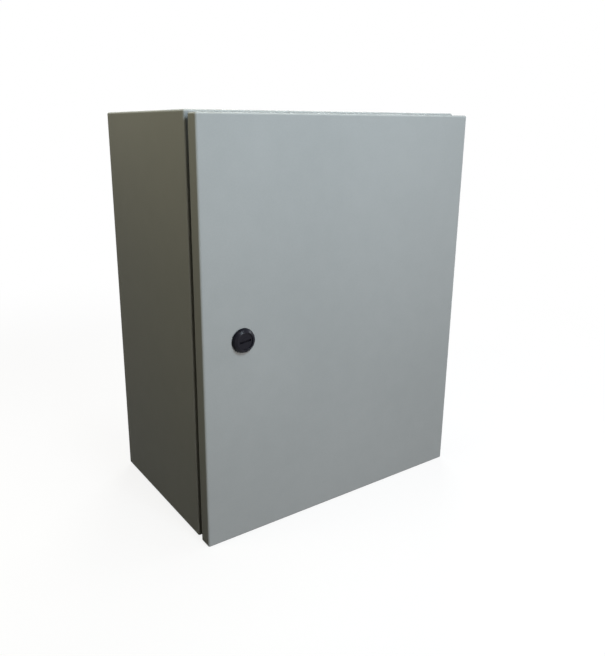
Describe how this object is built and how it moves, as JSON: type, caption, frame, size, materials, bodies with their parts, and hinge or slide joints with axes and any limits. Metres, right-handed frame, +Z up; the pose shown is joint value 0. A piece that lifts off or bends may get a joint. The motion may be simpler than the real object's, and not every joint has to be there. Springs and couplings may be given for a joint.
{
  "type": "electrical control panel",
  "caption": "Wall-mounted sheet steel control panel box with a hinged door, concealed hinges, a slotted quarter-turn lock and a mounting plate inside.",
  "frame": {"origin": "centre of the four wall-fixing holes, on the outer face of the back", "axes": "+X to the right along the front, +Y into the wall, +Z up"},
  "size_m": [0.4, 0.252, 0.502],
  "materials": {
    "powder_coat": "light grey powder coat, fine texture",
    "foam_seal": "black foamed sealing",
    "black_plastic": "black moulded, glossy",
    "lock_metal": "nickel plated",
    "galvanised": "galvanised sheet",
    "hinge_zinc": "die-cast zinc",
    "bright_steel": "bright drawn steel",
    "zinc_fastener": "bright zinc plated"
  },
  "bodies": {
    "cabinet": {"body_shell": "powder_coat", "hinge_bracket_upper": "hinge_zinc", "hinge_bracket_lower": "hinge_zinc", "plate_studs": "zinc_fastener", "mounting_plate": "galvanised", "plate_nuts": "zinc_fastener", "gland_gasket": "foam_seal", "gland_plate": "powder_coat", "body_earth_stud": "zinc_fastener", "body_earth_nut": "zinc_fastener"},
    "door": {"door_panel": "powder_coat", "door_gasket": "foam_seal", "hinge_leaf_upper": "hinge_zinc", "hinge_leaf_lower": "hinge_zinc", "hinge_pins": "bright_steel", "lock_housing": "black_plastic", "lock_seal": "foam_seal", "lock_nut": "lock_metal", "door_earth_stud": "zinc_fastener", "door_earth_nut": "zinc_fastener"},
    "lock": {"lock_rotor": "black_plastic", "lock_cam": "galvanised", "cam_screw": "zinc_fastener"}
  },
  "joints": [
    {"name": "door_hinge", "type": "hinge", "parent": "cabinet", "child": "door", "pos_m": [0.1925, -0.237, 0], "axis": [0, 0, 1], "range_deg": [0, 120]},
    {"name": "lock_turn", "type": "hinge", "parent": "door", "child": "lock", "pos_m": [-0.1485, -0.245, 0], "axis": [0, -1, 0], "range_deg": [-7, 83]}
  ]
}
